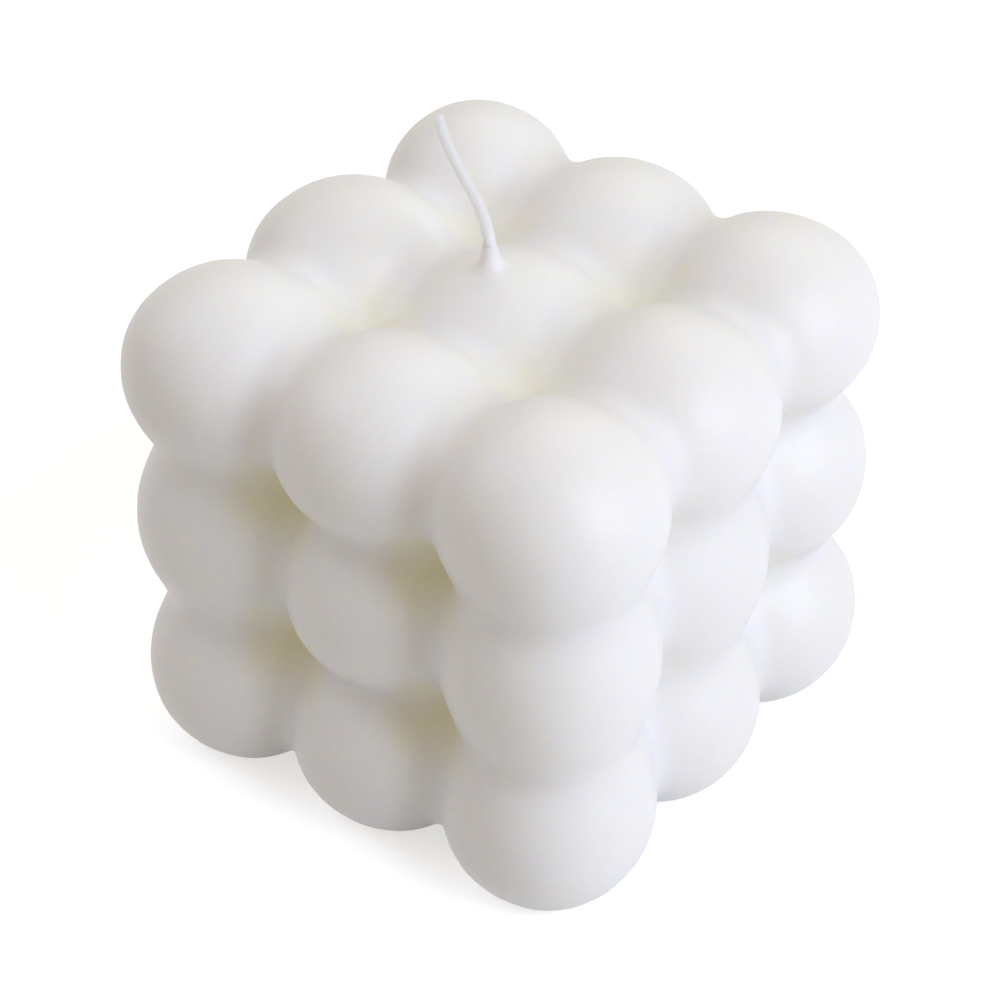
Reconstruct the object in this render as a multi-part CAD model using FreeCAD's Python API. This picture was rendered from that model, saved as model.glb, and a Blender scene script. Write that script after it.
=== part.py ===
import FreeCAD, Part
import math
import os

from FreeCAD import Vector

os.makedirs("parts", exist_ok=True)

# A cube candle: one wax casting of round bubbles on a cubic lattice, with a cotton wick.
# The origin is under the middle of the casting, on the plane it stands on, and +Z is up.
# Lengths are in millimetres and angles in degrees.

# The bubbles
bubbles_per_side = 3
bubble_radius = 10.7
bubble_pitch = 19.2  # from the middle of one bubble to the middle of the next
top_settle = 2.0  # how much lower the top layer sits than an even lattice puts it
base_flat = 1.3  # height missing from the bottom balls, where the candle stands

# The valleys: a ball rolled over the bubbles rounds them all, and comes to rest in each pit
pit_rise = 6.0  # from the plane of four bubble centres up to the centre of the resting ball

# The wick, cast in a little off the middle and bent over where it leaves the wax
wick_diameter = 1.3
wick_offset_x = -1.2
wick_offset_y = -0.9
wick_heading = 197.0  # the way the free end leans, turned from +X towards +Y
exit_bend_radius = 9.0
exit_bend_angle = 18.0
free_bend_angle = 4.5
free_bend_length = 11.2
straight_tip = 1.5
tip_round = 0.3

# The wax that climbs the wick at its foot
collar_height = 0.6
collar_spread = 1.0  # how far the collar's foot reaches out from the wick
collar_depth = 0.4  # how far its foot lies under the crown, so that no edge stands free
collar_lip = 0.1  # thickness of wax on the wick at the collar's top

valley_radius = math.sqrt(pit_rise ** 2 + bubble_pitch ** 2 / 2) - bubble_radius
reach = bubble_radius + valley_radius  # from a bubble's centre to the rolling ball's
wick_radius = wick_diameter / 2
last = bubbles_per_side - 1
axes = (Vector(1, 0, 0), Vector(0, 1, 0), Vector(0, 0, 1))


def lattice_steps(axis):
    """Distances from each layer of bubbles to the next along one axis, from the low side."""
    steps = [bubble_pitch] * last
    if axis == 2 and steps:
        steps[-1] -= top_settle
    return steps


def lattice_places(axis):
    """Coordinates of the bubble centres along one axis."""
    start = bubble_radius - base_flat if axis == 2 else -sum(steps[axis]) / 2
    return [start + sum(steps[axis][:index]) for index in range(last + 1)]


steps = [lattice_steps(axis) for axis in range(3)]
places = [lattice_places(axis) for axis in range(3)]


def centre_of(cell):
    return Vector(*(places[axis][cell[axis]] for axis in range(3)))


def moved(cell, axis, count=1):
    """The cell that lies count places further along an axis."""
    changed = list(cell)
    changed[axis] += count
    return tuple(changed)


def in_lattice(cell):
    return all(0 <= index <= last for index in cell)


def outer_cells():
    """Every cell of the lattice that lies on an outer side."""
    spread = range(last + 1)
    for cell in ((i, j, k) for i in spread for j in spread for k in spread):
        if any(index in (0, last) for index in cell):
            yield cell


def outward_normals(cell):
    """For each axis, the unit vector that leads out of the lattice here, or a null one."""
    signs = [(index == last) - (index == 0) for index in cell]
    return [axis * sign for axis, sign in zip(axes, signs)]


def ball_at(centre, radius, seam, pole):
    """A ball whose seam faces a given way, with its poles on a given axis."""
    ball = Part.makeSphere(radius)
    turn = FreeCAD.Rotation(seam, pole.cross(seam), pole, "ZXY")
    ball.Placement = FreeCAD.Placement(centre, turn)
    return ball


def bubble_box(cell):
    """The box that trims a bubble at its contact circles and at the standing plane."""
    low = centre_of(cell)
    high = centre_of(cell)
    for axis in range(3):
        contacts = [step / 2 * bubble_radius / reach for step in steps[axis]]
        low[axis] -= contacts[cell[axis] - 1] if cell[axis] > 0 else 2 * bubble_radius
        high[axis] += contacts[cell[axis]] if cell[axis] < last else 2 * bubble_radius
    low.z = max(low.z, 0.0)
    size = high - low
    return Part.makeBox(size.x, size.y, size.z, low)


def bubble_faces(cell):
    """The round face of a bubble that shows and, on the bottom layer, the flat under it."""
    normals = outward_normals(cell)
    pole_axis = next((axis for axis in (2, 1, 0) if not normals[axis].Length), 2)
    inward = Vector()
    for axis in range(3):
        if axis != pole_axis:
            inward -= normals[axis]
    ball = ball_at(centre_of(cell), bubble_radius, inward, axes[pole_axis])
    trimmed = ball.common(bubble_box(cell))
    round_faces = [face for face in trimmed.Faces if isinstance(face.Surface, Part.Sphere)]
    shown = [max(round_faces, key=lambda face: face.Area)]
    if cell[2] == 0:
        shown.append(min(trimmed.Faces, key=lambda face: face.CenterOfMass.z))
    return shown


def rest_height(first_step, second_step):
    """How high over the plane of four bubble centres the rolling ball's centre rests."""
    return math.sqrt(reach ** 2 - (first_step ** 2 + second_step ** 2) / 4)


def rests_beside(cell, axis):
    """From the line between a bubble and the next, to the ball in the pits on either side."""
    normals = outward_normals(cell)
    sides = [side for side in range(3) if side != axis]
    for side, across in (sides, sides[::-1]):
        for turn in (-1, 1):
            if not normals[side].Length or not in_lattice(moved(cell, across, turn)):
                continue
            width = steps[across][min(cell[across], cell[across] + turn)]
            rise = rest_height(steps[axis][cell[axis]], width)
            yield normals[side] * rise + axes[across] * (turn * width / 2)


def saddle_face(cell, axis):
    """The hollow of the rolling ball between a bubble and the next one along an axis."""
    start = centre_of(cell)
    end = centre_of(moved(cell, axis))
    outward = sum(outward_normals(cell), Vector())
    outward[axis] = 0
    first, second = rests_beside(cell, axis)
    if first.cross(outward).dot(axes[axis]) < 0:
        first, second = second, first
    rest = (start + end) / 2 + first
    to_start, to_line, to_end = (start - rest, -first, end - rest)
    touches = [rest + way.normalize() * valley_radius for way in (to_start, to_line, to_end)]
    sweep = math.degrees(first.getAngle(outward) + outward.getAngle(second))
    return Part.Arc(*touches).toShape().revolve(start, axes[axis], sweep)


def pit_face(cell, first_axis, second_axis, normal):
    """The hollow of the ball at rest between four bubbles of one outer side."""
    near = [cell, moved(cell, first_axis)]
    far = [moved(other, second_axis) for other in reversed(near)]
    corners = [centre_of(other) for other in near + far]
    rise = rest_height(steps[first_axis][cell[first_axis]], steps[second_axis][cell[second_axis]])
    rest = sum(corners, Vector()) / 4 + normal * rise
    loop = corners + corners[:1]
    slopes = [Part.Face(Part.makePolygon([a, b, rest, a])) for a, b in zip(loop, loop[1:])]
    pyramid = Part.Solid(Part.Shell(slopes + [Part.Face(Part.makePolygon(loop))]))
    hollowed = pyramid.cut(ball_at(rest, valley_radius, normal, axes[first_axis]))
    return next(face for face in hollowed.Faces if isinstance(face.Surface, Part.Sphere))


def all_saddles():
    """One saddle for each pair of neighbours that shows on an outer side."""
    for cell in outer_cells():
        for axis in range(3):
            across = [cell[side] for side in range(3) if side != axis]
            if in_lattice(moved(cell, axis)) and any(index in (0, last) for index in across):
                yield saddle_face(cell, axis)


def all_pits():
    """One pit for each square of four bubbles on each of the six outer sides."""
    for cell in outer_cells():
        normals = outward_normals(cell)
        for axis in range(3):
            first_axis, second_axis = [side for side in range(3) if side != axis]
            opposite = moved(moved(cell, first_axis), second_axis)
            if normals[axis].Length and in_lattice(opposite):
                yield pit_face(cell, first_axis, second_axis, normals[axis])


def bubble_block():
    """The casting before its wick: round faces, saddles and pits in one closed skin."""
    faces = [face for cell in outer_cells() for face in bubble_faces(cell)]
    faces += list(all_saddles()) + list(all_pits())
    skin = Part.Compound(faces)
    skin.sewShape()
    return Part.Solid(skin.Shells[0])


def wick_way_out(block):
    """Where the wick's own line leaves the top of the casting."""
    foot = Vector(wick_offset_x, wick_offset_y, 0)
    line = Part.makeLine(foot, foot + axes[2] * (places[2][-1] + 2 * bubble_radius))
    return foot + axes[2] * line.common(block).BoundBox.ZMax


def wax_collar(way_out):
    """The hollow-sided skirt of wax that was drawn up round the wick."""
    foot_radius = wick_radius + collar_spread
    top_radius = wick_radius + collar_lip
    width = foot_radius - top_radius
    height = collar_height + collar_depth
    flare = (width ** 2 + height ** 2) / (2 * height)  # level at the foot, and through the top
    turn = math.asin(width / flare) / 2
    foot = Vector(foot_radius, 0, -collar_depth)
    middle = foot + Vector(-flare * math.sin(turn), 0, flare * (1 - math.cos(turn)))
    top = Vector(top_radius, 0, collar_height)
    sunk = Vector(foot_radius, 0, -2 * collar_depth)
    side = Part.Arc(foot, middle, top).toShape()
    rest = Part.makePolygon([top, Vector(0, 0, top.z), Vector(0, 0, sunk.z), sunk, foot])
    collar = Part.Face(Part.Wire([side] + rest.Edges)).revolve(Vector(), axes[2], 360)
    return collar.translated(way_out)


def wax_body(block, way_out):
    """The whole casting, with its collar and the round way that the wick fills."""
    bore = Part.makeCylinder(wick_radius, way_out.z + 2 * collar_height, Vector(way_out.x, way_out.y, 0))
    return block.fuse(wax_collar(way_out)).cut(bore).Solids[0]


def wick(way_out):
    """The cotton cord: upright in the wax, then two bends and a straight end with a round tip."""
    heading = math.radians(wick_heading)
    lean = Vector(math.cos(heading), math.sin(heading), 0)
    hinge = axes[2].cross(lean)
    free_bend_radius = free_bend_length / math.radians(free_bend_angle)
    foot = Vector(way_out.x, way_out.y, 0)
    section = Part.Face(Part.Wire(Part.makeCircle(wick_radius, foot)))
    cord = section.extrude(axes[2] * (way_out.z + collar_height))
    end = cord.Faces[-1]
    tilt = 0.0
    for radius, angle in ((exit_bend_radius, exit_bend_angle), (free_bend_radius, free_bend_angle)):
        side = FreeCAD.Rotation(hinge, tilt).multVec(lean)
        bend = end.revolve(end.CenterOfMass + side * radius, hinge, angle)
        end = bend.Faces[-1]
        cord = cord.fuse(bend)
        tilt += angle
    stub = end.extrude(FreeCAD.Rotation(hinge, tilt).multVec(axes[2]) * straight_tip)
    cord = cord.fuse(stub.makeFillet(tip_round, [stub.Faces[-1].OuterWire.Edges[0]]))
    return cord.Solids[0]


block = bubble_block()
way_out = wick_way_out(block)
pieces = {"wax_body": wax_body(block, way_out), "wick": wick(way_out)}
for name, piece in pieces.items():
    print(name, piece.ShapeType, len(piece.Solids), round(piece.Volume, 2), piece.isValid())
    piece.exportStep(f"parts/{name}.step")
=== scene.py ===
from math import cos, exp, pi, radians, sin

import bmesh
import bpy
import numpy as np
from mathutils import Matrix, Vector, noise


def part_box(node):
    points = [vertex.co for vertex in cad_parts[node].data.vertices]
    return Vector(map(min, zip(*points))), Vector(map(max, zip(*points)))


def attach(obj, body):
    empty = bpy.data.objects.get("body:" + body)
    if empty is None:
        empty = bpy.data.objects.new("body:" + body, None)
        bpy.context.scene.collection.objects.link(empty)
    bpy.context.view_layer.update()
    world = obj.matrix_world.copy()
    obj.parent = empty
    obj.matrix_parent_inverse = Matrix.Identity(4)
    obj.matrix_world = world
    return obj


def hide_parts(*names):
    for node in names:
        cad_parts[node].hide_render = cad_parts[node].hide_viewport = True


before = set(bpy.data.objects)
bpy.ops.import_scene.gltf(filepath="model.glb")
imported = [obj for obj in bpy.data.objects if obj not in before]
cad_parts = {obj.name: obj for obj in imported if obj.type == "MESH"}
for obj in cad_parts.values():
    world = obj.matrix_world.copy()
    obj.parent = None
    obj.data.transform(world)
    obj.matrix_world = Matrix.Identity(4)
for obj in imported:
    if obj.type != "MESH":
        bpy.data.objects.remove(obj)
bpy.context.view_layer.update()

mm = 0.001
tiny = 1e-9  # keeps a length that is divided by from being 0
scene = bpy.context.scene
scene.view_settings.view_transform = "Standard"


# Shader maths: a socket that takes + and * as Math nodes
class Wire:
    def __init__(self, tree, socket):
        self.tree = tree
        self.socket = socket

    def math(self, operation, first, second):
        node = self.tree.nodes.new("ShaderNodeMath")
        node.operation = operation
        for entry, value in zip(node.inputs, (first, second)):
            if isinstance(value, Wire):
                self.tree.links.new(value.socket, entry)
            else:
                entry.default_value = value
        return Wire(self.tree, node.outputs[0])

    def __add__(self, other):
        return self.math("ADD", self, other)

    __radd__ = __add__

    def __mul__(self, other):
        return self.math("MULTIPLY", self, other)

    __rmul__ = __mul__


# The nodes of one material or of the world, with one method for every kind of node.
# A socket's name is given with _ for each space.
class Finish:
    def __init__(self, owner):
        self.owner = owner
        owner.use_nodes = True
        self.tree = owner.node_tree
        self.tree.nodes.clear()

    def node(self, kind, settings=None, **values):
        made = self.tree.nodes.new(kind)
        for name, value in (settings or {}).items():
            setattr(made, name, value)
        for name, value in values.items():
            self.put(made.inputs[name.replace("_", " ")], value)
        return made

    def put(self, entry, value):
        if isinstance(value, Wire):
            self.tree.links.new(value.socket, entry)
        else:
            entry.default_value = value

    def out(self, node, name=0):
        return Wire(self.tree, node.outputs[name])

    # in a Mix node the two colours go in at sockets 6 and 7, counted from 0, and come out at 2
    def mixColor(self, factor, first, second):
        mixed = self.node("ShaderNodeMix", {"data_type": "RGBA"})
        for index, value in ((0, factor), (6, first), (7, second)):
            self.put(mixed.inputs[index], value)
        return self.out(mixed, 2)

    def noiseAt(self, place, scale, detail):
        return self.out(self.node("ShaderNodeTexNoise", Vector=place, Scale=scale, Detail=detail))

    def bump(self, look, height):
        relief = {"Height": height, "Strength": look["relief"], "Distance": look["reliefDepth"]}
        return self.out(self.node("ShaderNodeBump", **relief))

    # two shaders added, or mixed by a factor
    def joined(self, kind, first, second, **values):
        both = self.node(kind, **values)
        for entry, shader in zip(both.inputs[-2:], (first, second)):
            self.tree.links.new(shader.outputs[0], entry)
        return both

    # what stands behind the object: the camera, mirrors and glass see it, and other light does not
    def seen(self):
        path = self.node("ShaderNodeLightPath")
        camera, mirror, glass = (
            self.out(path, name) for name in ("Is Camera Ray", "Is Glossy Ray", "Is Transmission Ray")
        )
        return camera + mirror + glass

    def surface(self, shader, kind="Material"):
        self.node("ShaderNodeOutput" + kind, Surface=self.out(shader))
        return self.owner


def linkMesh(shape, name):
    mesh = bpy.data.meshes.new(name)
    shape.to_mesh(mesh)
    shape.free()
    piece = bpy.data.objects.new(name, mesh)
    scene.collection.objects.link(piece)
    return piece


def applyModifiers(piece):
    graph = bpy.context.evaluated_depsgraph_get()
    finished = bpy.data.meshes.new_from_object(piece.evaluated_get(graph))
    piece.modifiers.clear()
    piece.data = finished


# The casting: bubbles on a lattice, with the settling and the small faults of a poured one
wax = {
    "pitch": 19.15 * mm,
    "levels": (9.4 * mm, 28.6 * mm, 46.4 * mm),  # heights of the three layers' middles
    "lowHalf": (10.55 * mm, 10.6 * mm),  # half width and half height of the lower bubbles
    "topHalf": (10.95 * mm, 9.7 * mm),  # the top ones sank flatter as they set
    "squareness": 2.12,  # 2 is a true ball
    "valleyReach": 3.6 * mm,  # how softly neighbours run together
    "coreProud": 3.0 * mm,  # how far the block's core stands over the outer bubble centres
    # columns whose bubbles run together more fully, and how thick they stay between two bubbles
    "fullColumns": {(0, 0): 7.2 * mm, (2, 0): 8.1 * mm, (2, 1): 7.6 * mm},
    # painted warm bounce light in the pits, standing in for the light that the wax throws about in its
    # shaded hollows: how far off the third and fourth bubble are where it starts, and where it is full
    "paintedBounceReach": (9.0 * mm, 3.6 * mm),
    "paintedBounceFade": 1.3,  # over 1, the painted bounce light gathers towards the pit's middle
    "paintedBounceShares": (0.12, 0.9, 0.5),  # how much of that painted bounce light the sides along x, y and z take; little on the side along x, where the right lamp shines
    # top bubbles by column and row, in mm: their shift in x, y and z, and their gain in half width
    "topFaults": {
        (0, 0): (0.2, 0, 0.6, 0),
        (0, 1): (0, 0, 0.7, 0),
        (0, 2): (1.2, 0.9, 0.7, -1.1),
        (1, 0): (0, 0, -0.1, 0),
        (1, 1): (0, 0, -0.7, 0),
        (1, 2): (0, 0, 0.1, 0),
        (2, 0): (0, 0, -0.25, 0),
        (2, 1): (0, 0, -0.35, 0),
        (2, 2): (-0.3, 0, 0.45, 0),
    },
    "mergeWithin": 0.001 * mm,
    "boreShare": 1.1,  # of the wick's radius, within which the solid's points line its bore
    "voxels": (1.1 * mm, 0.62 * mm),  # a coarse skin first, then a fine one
    "draws": 4,  # how often each skin is drawn to the bubbles
    "lumpSize": 0.14 * mm,
    "lumpScale": 60.0,
    "dimpleSize": 0.035 * mm,
    "dimpleScale": 420.0,
}
places = (-wax["pitch"], 0, wax["pitch"])  # of the columns along x, and of the rows along y
lowLevel, middleLevel, topLevel = wax["levels"]


# The middle of each bubble, and its half size along x, y and z
def bubbles():
    for column, x in enumerate(places):
        for row, y in enumerate(places):
            spread, rise = wax["lowHalf"]
            for z in (lowLevel, middleLevel):
                yield np.array((x, y, z)), np.array((spread, spread, rise))
            spread, rise = wax["topHalf"]
            right, back, up, wider = (value * mm for value in wax["topFaults"][column, row])
            spread += wider
            yield np.array((x + right, y + back, topLevel + up)), np.array((spread, spread, rise))


# The block inside the bubbles, which is the floor of the pits between them
def overCore(points):
    half = np.array((wax["pitch"], wax["pitch"], (topLevel - lowLevel) / 2)) + wax["coreProud"]
    arm = points - np.array((0, 0, (topLevel + lowLevel) / 2))
    return arm, np.abs(arm) - half


def againstCore(points):
    arm, over = overCore(points)
    side = np.eye(3)[over.argmax(axis=1)]
    slope = np.where(over.max(axis=1)[:, None] > 0, np.maximum(over, 0), side)
    slope /= np.linalg.norm(slope, axis=1)[:, None]
    gap = np.linalg.norm(np.maximum(over, 0), axis=1) + np.minimum(over.max(axis=1), 0)
    return gap, slope * np.sign(arm)


# The round bar that fills a column's waist between its bubbles
def againstColumn(points, column, row, radius):
    arm = points - np.array((places[column], places[row], 0))
    arm[:, 2] -= np.clip(arm[:, 2], lowLevel, topLevel)
    length = np.maximum(np.linalg.norm(arm, axis=1), tiny)
    return length - radius, arm / length[:, None]


def againstBubble(points, centre, half):
    power = wax["squareness"]
    arm = points - centre
    size = (np.abs(arm / half) ** power).sum(axis=1) ** (1 / power)
    gap = np.linalg.norm(arm, axis=1) * (1 - 1 / np.maximum(size, tiny))
    slope = np.sign(arm) * np.abs(arm / half) ** (power - 1) / half
    slope /= np.linalg.norm(slope, axis=1)[:, None]
    return gap, slope


# Where points lie against the run-together bubbles: the way out, how far, and how strongly the painted
# warm bounce light of a pit shows there
def againstWax(points):
    reach = wax["valleyReach"]
    crowd = np.zeros(len(points))
    way = np.zeros(points.shape)
    fills = [againstCore(points)]
    fills += [againstColumn(points, *cell, radius) for cell, radius in wax["fullColumns"].items()]
    balls = [againstBubble(points, *bubble) for bubble in bubbles()]
    for gap, slope in fills + balls:
        hold = np.maximum(reach - gap, 0)
        crowd += hold ** 2
        way += hold[:, None] * slope
    way /= np.maximum(np.linalg.norm(way, axis=1), tiny)[:, None]
    others = np.sort([gap for gap, slope in balls], axis=0)[2:4].mean(axis=0)
    start, full = wax["paintedBounceReach"]
    side = overCore(points)[1].argmax(axis=1)
    deep = np.clip((start - others) / (start - full), 0, 1) ** wax["paintedBounceFade"]
    return way, reach - np.sqrt(crowd), deep * np.array(wax["paintedBounceShares"])[side]


def meshPoints(mesh):
    points = np.empty(len(mesh.vertices) * 3)
    mesh.vertices.foreach_get("co", points)
    return points.reshape(-1, 3)


def drawToWax(mesh):
    points = meshPoints(mesh)
    for _ in range(wax["draws"]):
        way, gap, _ = againstWax(points)
        points -= way * gap[:, None]
    mesh.vertices.foreach_set("co", points.ravel())
    mesh.update()


def remeshed(piece, voxel):
    skin = piece.modifiers.new("even skin", "REMESH")
    skin.mode = "VOXEL"
    skin.voxel_size = voxel
    skin.use_smooth_shade = True
    applyModifiers(piece)


def closedCasting():
    shape = bmesh.new()
    shape.from_mesh(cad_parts["wax_body"].data)
    bmesh.ops.remove_doubles(shape, verts=shape.verts, dist=wax["mergeWithin"])
    # the wick's way through the wax is closed again, because the wick fills it
    reach = wick["radius"] * wax["boreShare"]
    bore = [vert for vert in shape.verts if (vert.co.xy - wickExit.xy).length < reach]
    bmesh.ops.delete(shape, geom=bore, context="VERTS")
    rims = [edge for edge in shape.edges if edge.is_boundary]
    bmesh.ops.holes_fill(shape, edges=rims, sides=0)
    return linkMesh(shape, "waxCasting")


def waxCasting():
    piece = closedCasting()
    for voxel in wax["voxels"]:
        remeshed(piece, voxel)
        drawToWax(piece.data)
    shape = bmesh.new()
    shape.from_mesh(piece.data)
    near = [
        face for face in shape.faces
        if face.calc_center_median().z > topLevel
        and (face.calc_center_median().xy - wickExit.xy).length < climb["around"]
    ]
    edges = {edge for face in near for edge in face.edges}
    bmesh.ops.subdivide_edges(shape, edges=list(edges), cuts=climb["cuts"], use_grid_fill=True)
    shape.to_mesh(piece.data)
    shape.free()
    drawToWax(piece.data)
    finishSkin(piece)
    return piece


# The last of the shape: lumps, dimples, the wax that climbs the wick, and the level foot
def finishSkin(piece):
    # each point keeps how strongly the painted warm bounce light of the pits shows on it, for the wax's
    # colour
    depth = againstWax(meshPoints(piece.data))[2]
    shape = bmesh.new()
    shape.from_mesh(piece.data)
    paintedPitBounce = shape.verts.layers.float.new("paintedPitBounce")
    footing = shape.verts.layers.float.new("footing")
    shape.normal_update()
    for vert, deep in zip(shape.verts, depth):
        vert[paintedPitBounce] = deep
        lump = noise.noise(vert.co * wax["lumpScale"]) * wax["lumpSize"]
        dimple = noise.noise(vert.co * wax["dimpleScale"]) * wax["dimpleSize"]
        vert.co += vert.normal * (lump + dimple)
    for vert in shape.verts:
        aside = (vert.co.xy - wickExit.xy).length - wick["radius"]
        vert[footing] = nearFoot(vert.co)
        if vert.co.z > topLevel and aside < climb["around"]:
            rise = climb["height"] * exp(-max(aside, 0) / climb["slope"])
            lean = wickWay(max(vert.co.z + rise - wickExit.z, 0))[0] - wickExit
            vert.co += Vector((lean.x, lean.y, rise)) * min(1, rise / climb["fade"])
    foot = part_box("wax_body")[0].z
    for vert in shape.verts:
        vert.co.z = max(vert.co.z, foot)
    for face in shape.faces:
        face.smooth = True
    shape.to_mesh(piece.data)
    shape.free()


# The wick: upright in the wax, bent over where it leaves it, and back a little towards its tip
wick = {
    "exit": (-1.2 * mm, -0.9 * mm, 57.06 * mm),  # where the first bend starts
    "heading": radians(197),
    # each bend's length and how far it turns
    "bends": (
        (4.0 * mm, radians(17)),
        (2.5 * mm, radians(11)),
        (4.0 * mm, radians(0.5)),
        (5.0 * mm, radians(-18)),
    ),
    "length": 15.6 * mm,  # from the exit to the tip
    "radius": 0.64 * mm,
    "tipShare": 0.8,  # of the radius, at the tip
    # the rounded tip: where it starts, and the share of the tip's radius at each distance before its end
    "tipRound": 0.4 * mm,
    "tipRings": ((0.26 * mm, 0.97), (0.13 * mm, 0.86), (0.04 * mm, 0.62), (0, 0.3)),
    "strands": 3,
    "strandPoints": 12,  # on the rim, for each strand
    "strandDepth": 0.05,
    "twist": 5.2 * mm,  # length of one full turn
    "sunk": 3.0 * mm,  # how far below the exit the twist starts
    # how much the coat of wax varies the thickness, how quickly, and from which place in the noise
    "waxed": 0.06,
    "waxedScale": 900,
    "waxedStart": 3.1,
    "station": 0.14 * mm,
}
wickExit = Vector(wick["exit"])

# The wax that climbs the wick at its foot
climb = {
    "height": 3.0 * mm,  # at the wick
    "slope": 0.5 * mm,  # how quickly it falls away from there
    "fade": 0.1 * mm,  # where it is lower than this, it runs out
    "around": 2.8 * mm,  # how far out it may reach
    "cuts": 2,  # how much finer the skin is there
}


# 1 where the wick leaves the wax, falling to 0 where its climb ends
def nearFoot(place):
    away = (place - wickExit).length - wick["radius"]
    return 1 - min(max(away / climb["around"], 0), 1)


# The wick's middle and its direction, a given run beyond its exit
def wickWay(run):
    lean = Vector((cos(wick["heading"]), sin(wick["heading"]), 0))
    up = Vector((0, 0, 1))
    point = wickExit.copy()
    if run <= 0:
        return point + up * run, up
    tilt = 0
    for length, angle in wick["bends"]:
        turn = angle * min(run / length, 1)
        radius = length / angle
        point += lean * (cos(tilt) - cos(tilt + turn)) * radius
        point += up * (sin(tilt + turn) - sin(tilt)) * radius
        tilt += turn
        run = max(run - length, 0)
    way = lean * sin(tilt) + up * cos(tilt)
    return point + way * run, way


def wickStand(run, scale):
    point, way = wickWay(run)
    turn = Matrix.Rotation(2 * pi * run / wick["twist"], 4, "Z")
    facing = way.to_track_quat("Z", "Y").to_matrix().to_4x4()
    return Matrix.Translation(point) @ facing @ turn @ Matrix.Scale(scale, 4)


def wickCord():
    shape = bmesh.new()
    around = wick["strandPoints"] * wick["strands"]
    made = bmesh.ops.create_circle(shape, segments=around, radius=wick["radius"])
    for vert in made["verts"]:
        turn = vert.co.xy.angle_signed(Vector((1, 0)))
        vert.co *= 1 - wick["strandDepth"] * (1 - abs(cos(turn * wick["strands"] / 2)))
    run = -wick["sunk"]
    stations = [(-wickExit.z, 1), (run, 1)]
    while run < wick["length"] - wick["tipRound"]:
        run += wick["station"]
        slimmer = (1 - wick["tipShare"]) * max(run / wick["length"], 0)
        coat = noise.noise(Vector((run * wick["waxedScale"], wick["waxedStart"], 0)))
        stations.append((run, 1 - slimmer + wick["waxed"] * coat))
    for short, share in wick["tipRings"]:
        stations.append((wick["length"] - short, share * wick["tipShare"]))
    rim = list(shape.edges)
    stand = wickStand(*stations[0])
    bmesh.ops.transform(shape, matrix=stand, verts=shape.verts)
    for run, scale in stations[1:]:
        longer = bmesh.ops.extrude_edge_only(shape, edges=rim)["geom"]
        rim = [item for item in longer if isinstance(item, bmesh.types.BMEdge)]
        ring = [item for item in longer if isinstance(item, bmesh.types.BMVert)]
        following = wickStand(run, scale)
        bmesh.ops.transform(shape, matrix=following @ stand.inverted(), verts=ring)
        stand = following
    bmesh.ops.holes_fill(shape, edges=[edge for edge in shape.edges if edge.is_boundary], sides=0)
    bmesh.ops.recalc_face_normals(shape, faces=shape.faces)
    footing = shape.verts.layers.float.new("footing")
    for vert in shape.verts:
        vert[footing] = nearFoot(vert.co)
    for face in shape.faces:
        face.smooth = True
    return linkMesh(shape, "wickCord")


waxLook = {
    "plain": (0.90, 0.875, 0.84, 1),
    # the colour of the painted warm bounce light in the shaded pits
    "paintedPitBounce": (0.93, 0.872, 0.60, 1),
    "mottle": (0.80, 0.79, 0.785, 1),
    "mottling": 0.08,
    "cloudScale": 90.0,
    "cloudDetail": 3.0,
    "grainScale": 1400.0,
    "grainDetail": 2.0,
    "cloudRelief": 2.0,  # against the grain's
    "relief": 0.08,
    "reliefDepth": 0.2 * mm,
    "roughness": 0.42,
    "roughnessSwing": 0.12,
    "refraction": 1.44,
    "translucence": 1.0,
    "depth": 5.0 * mm,
    "spread": (1.0, 0.82, 0.45),  # how far red, green and blue go in, as shares of the depth
}


# A translucent skin that turns plain at the wick's foot, where wick and wax are one
def waxySkin(finish, look, color, roughness, bump):
    plain, deep = (finish.node(
        "ShaderNodeBsdfPrincipled",
        Base_Color=color,
        Roughness=roughness,
        Normal=bump,
        IOR=look["refraction"],
        Subsurface_Weight=weight,
        Subsurface_Radius=look["spread"],
        Subsurface_Scale=look["depth"],
    ) for weight in (0.0, look["translucence"]))
    footing = finish.out(finish.node("ShaderNodeAttribute", {"attribute_name": "footing"}), "Fac")
    return finish.joined("ShaderNodeMixShader", deep, plain, Fac=footing)


def waxFinish():
    finish = Finish(bpy.data.materials.new("cast wax"))
    place = finish.out(finish.node("ShaderNodeTexCoord"), "Object")
    paintedPitBounce = finish.out(finish.node("ShaderNodeAttribute", {"attribute_name": "paintedPitBounce"}), "Fac")
    cloud = finish.noiseAt(place, waxLook["cloudScale"], waxLook["cloudDetail"])
    grain = finish.noiseAt(place, waxLook["grainScale"], waxLook["grainDetail"])
    # the plain wax colour, turned cream where the painted warm bounce light of the pits lies
    tintWithPaintedBounce = finish.mixColor(paintedPitBounce, waxLook["plain"], waxLook["paintedPitBounce"])
    color = finish.mixColor(cloud * waxLook["mottling"], tintWithPaintedBounce, waxLook["mottle"])
    swing = waxLook["roughnessSwing"]
    roughness = cloud * swing + (waxLook["roughness"] - swing / 2)
    bump = finish.bump(waxLook, grain + cloud * waxLook["cloudRelief"])
    return finish.surface(waxySkin(finish, waxLook, color, roughness, bump))


wickLook = {
    "wax": (1.0, 0.99, 0.98, 1),
    "cotton": (0.98, 0.97, 0.96, 1),
    "cottonShare": 0.4,
    "fuzzScale": 2500.0,
    "fuzzDetail": 2.0,
    "relief": 0.2,
    "reliefDepth": 0.1 * mm,
    "roughness": 0.5,
    "refraction": 1.44,
    "translucence": 1.0,
    "depth": 5.0 * mm,
    "spread": (1.0, 0.95, 0.9),
}


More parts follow.
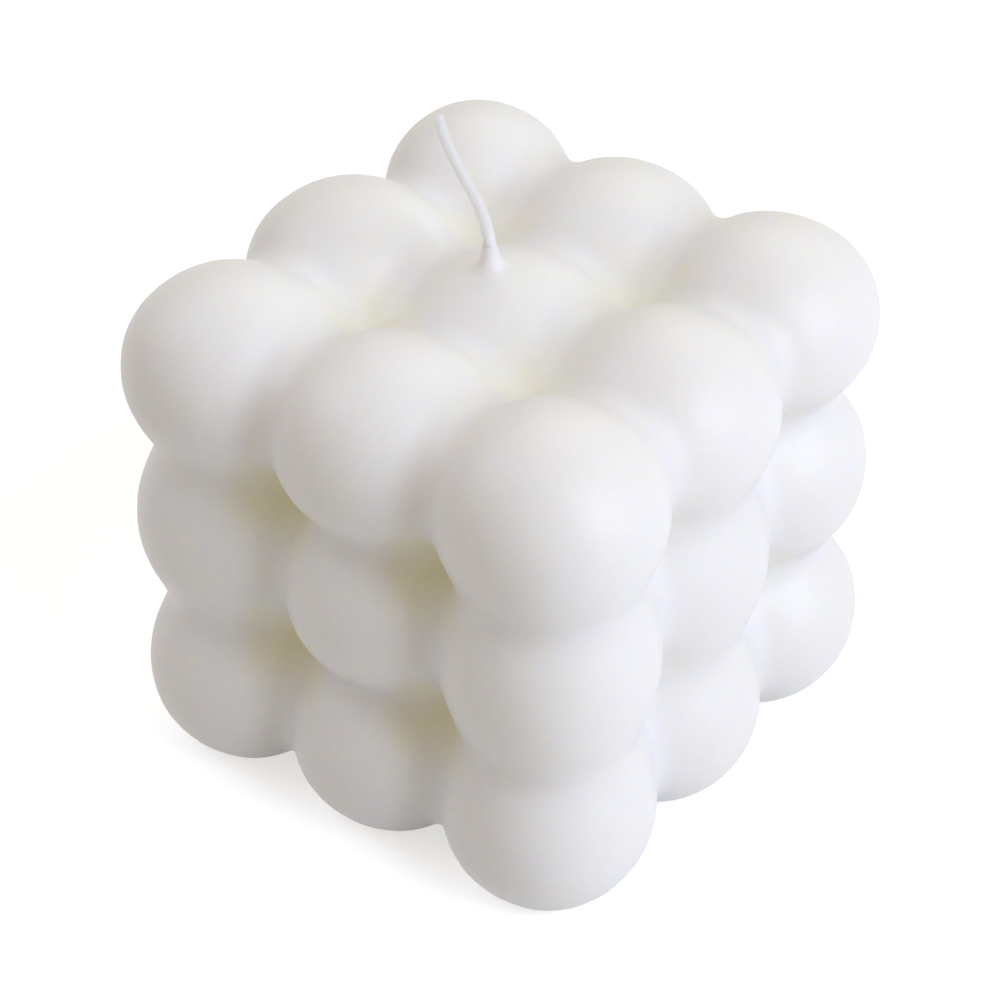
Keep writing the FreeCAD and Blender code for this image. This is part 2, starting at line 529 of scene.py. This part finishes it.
def wickFinish():
    finish = Finish(bpy.data.materials.new("waxed cotton"))
    place = finish.out(finish.node("ShaderNodeTexCoord"), "Object")
    fuzz = finish.noiseAt(place, wickLook["fuzzScale"], wickLook["fuzzDetail"])
    color = finish.mixColor(fuzz * wickLook["cottonShare"], wickLook["wax"], wickLook["cotton"])
    bump = finish.bump(wickLook, fuzz)
    return finish.surface(waxySkin(finish, wickLook, color, wickLook["roughness"], bump))


# Floor, backdrop and light
stage = {
    "floorSize": 0.9,  # metres from its middle to an edge
    "floorColor": (0.74, 0.74, 0.74, 1),
    "floorLift": 0.6,  # how much whiter it shows behind the candle, without more light on the wax
    "fillColor": (1.0, 0.84, 0.53, 1),
    "fillStrength": 0.288,
    "aim": (0, 0, 30 * mm),
    "lamps": {
        # where from, width and height in metres, power in watts, colour
        "rightWindow": ((0.86, 0.0, 0.52), 0.6, 0.9, 8.6, (0.705, 0.785, 1.0)),
        "leftWindow": ((-0.60, -0.24, 0.77), 0.7, 0.7, 3.0, (0.67, 0.73, 1.0)),
        "backWindow": ((-0.24, 0.60, 0.77), 0.7, 0.7, 1.85, (0.965, 1.0, 0.88)),
    },
}


def layFloor():
    shape = bmesh.new()
    bmesh.ops.create_grid(shape, x_segments=1, y_segments=1, size=stage["floorSize"])
    floor = linkMesh(shape, "floor")
    finish = Finish(bpy.data.materials.new("pale floor"))
    plain = finish.node("ShaderNodeBsdfDiffuse", Color=stage["floorColor"])
    lift = finish.node("ShaderNodeEmission", Color=(1, 1, 1, 1), Strength=stage["floorLift"])
    lifted = finish.joined("ShaderNodeAddShader", plain, lift)
    both = finish.joined("ShaderNodeMixShader", plain, lifted, Fac=finish.seen())
    floor.data.materials.append(finish.surface(both))


def lightScene():
    scene.world = bpy.data.worlds.new("studio")
    finish = Finish(scene.world)
    fill = finish.node("ShaderNodeBackground", Color=stage["fillColor"], Strength=stage["fillStrength"])
    white = finish.node("ShaderNodeBackground", Color=(1, 1, 1, 1), Strength=1.0)
    both = finish.joined("ShaderNodeMixShader", fill, white, Fac=finish.seen())
    finish.surface(both, "World")
    for name, (place, width, height, power, color) in stage["lamps"].items():
        data = bpy.data.lights.new(name, "AREA")
        data.shape = "RECTANGLE"
        data.size = width
        data.size_y = height
        data.energy = power
        data.color = color
        lamp = bpy.data.objects.new(name, data)
        lamp.location = place
        aim = Vector(stage["aim"]) - lamp.location
        lamp.rotation_euler = aim.to_track_quat("-Z", "Y").to_euler()
        scene.collection.objects.link(lamp)


# The camera, as it was fitted to the photograph
view = {
    "azimuth": 36.03,
    "elevation": 37.42,
    "roll": -0.17,
    "distance": 321.6 * mm,
    "target": (0, 0, 28.6 * mm),
    "focalPixels": 3121.8,
    "middlePixel": (506.04, 484.74),
    "imagePixels": 1001,
    "sensorWidth": 36,
    "nearest": 10 * mm,
}


def placeCamera():
    data = bpy.data.cameras.new("camera")
    camera = bpy.data.objects.new("camera", data)
    scene.collection.objects.link(camera)
    turn = radians(view["azimuth"])
    rise = radians(view["elevation"])
    back = Vector((sin(turn) * cos(rise), -cos(turn) * cos(rise), sin(rise)))
    right = Vector((cos(turn), sin(turn), 0))
    up = back.cross(right)
    facing = Matrix((right, up, back)).transposed()
    camera.matrix_world = (
        Matrix.Translation(Vector(view["target"]) + back * view["distance"])
        @ facing.to_4x4()
        @ Matrix.Rotation(radians(view["roll"]), 4, "Z")
    )
    data.sensor_width = view["sensorWidth"]
    data.lens = view["focalPixels"] / view["imagePixels"] * data.sensor_width
    middle = view["imagePixels"] / 2
    data.shift_x = (middle - view["middlePixel"][0]) / view["imagePixels"]
    data.shift_y = (view["middlePixel"][1] - middle) / view["imagePixels"]
    data.clip_start = view["nearest"]
    scene.camera = camera


placeCamera()
lightScene()
layFloor()
print("stage ready")

casting = waxCasting()
casting.data.materials.append(waxFinish())
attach(casting, "root")
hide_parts("wax_body")
print("wax casting:", len(casting.data.polygons), "faces")

cord = wickCord()
cord.data.materials.append(wickFinish())
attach(cord, "root")
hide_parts("wick")
print("wick:", len(cord.data.polygons), "faces")
